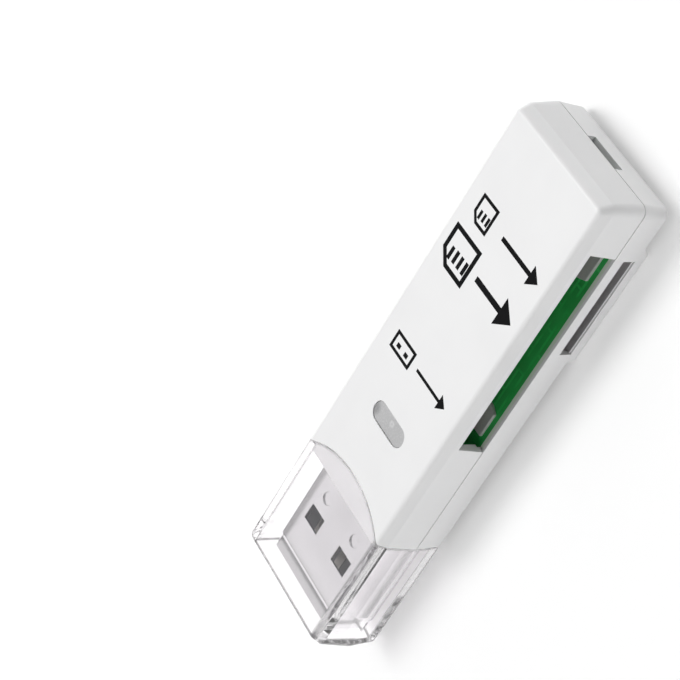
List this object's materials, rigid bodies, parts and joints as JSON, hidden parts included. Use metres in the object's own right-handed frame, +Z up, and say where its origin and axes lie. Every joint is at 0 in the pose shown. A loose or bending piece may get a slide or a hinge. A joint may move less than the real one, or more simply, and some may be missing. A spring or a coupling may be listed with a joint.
{
  "type": "memory card reader",
  "caption": "Stick-shaped memory card reader with a plug under a clear pull-off cap, a large and a small card slot in one side, a lamp in the top and a lanyard slot in the tail.",
  "frame": {"origin": "middle of the closed stick's length and width, at the level of the pad that it lies on", "axes": "+X from the cap to the tail, the card slots face -Y, +Z up out of the face with the lamp"},
  "size_m": [0.059, 0.0162, 0.0089],
  "materials": {
    "white_plastic": "satin white",
    "clear_plastic": "clear, polished",
    "plug_steel": "bright nickel-plated sheet",
    "socket_steel": "plain sheet",
    "lens_plastic": "milky translucent",
    "tongue_plastic": "white, fine matt",
    "board_green": "green solder mask",
    "rail_plastic": "pale grey, matt",
    "dark_plastic": "black, matt",
    "ceramic": "tan ceramic",
    "lamp_plastic": "clear resin on white",
    "contact_gold": "gold-plated"
  },
  "bodies": {
    "reader": {"bottom_shell": "white_plastic", "capacitor_1": "ceramic", "capacitor_2": "ceramic", "card_contact_1": "contact_gold", "card_contact_2": "contact_gold", "card_contact_3": "contact_gold", "card_contact_4": "contact_gold", "card_contact_5": "contact_gold", "card_contact_6": "contact_gold", "card_contact_7": "contact_gold", "card_contact_8": "contact_gold", "card_contact_9": "contact_gold", "card_contact_carrier": "dark_plastic", "card_rail_front": "rail_plastic", "card_rail_rear": "rail_plastic", "circuit_board": "board_green", "controller_chip": "dark_plastic", "led": "lamp_plastic", "led_lens": "lens_plastic", "micro_contact_1": "contact_gold", "micro_contact_2": "contact_gold", "micro_contact_3": "contact_gold", "micro_contact_4": "contact_gold", "micro_contact_5": "contact_gold", "micro_contact_6": "contact_gold", "micro_contact_7": "contact_gold", "micro_contact_8": "contact_gold", "micro_socket_base": "dark_plastic", "micro_socket_cover": "socket_steel", "plug_contact_1": "contact_gold", "plug_contact_2": "contact_gold", "plug_contact_3": "contact_gold", "plug_contact_4": "contact_gold", "plug_shell": "plug_steel", "plug_tongue": "tongue_plastic", "resistor_1": "dark_plastic", "resistor_2": "dark_plastic", "top_shell": "white_plastic"},
    "cap": {"clear_cap": "clear_plastic"}
  },
  "joints": [
    {"name": "cap_slide", "type": "slide", "parent": "reader", "child": "cap", "axis": [-1, 0, 0], "range_m": [0, 0.018]}
  ]
}
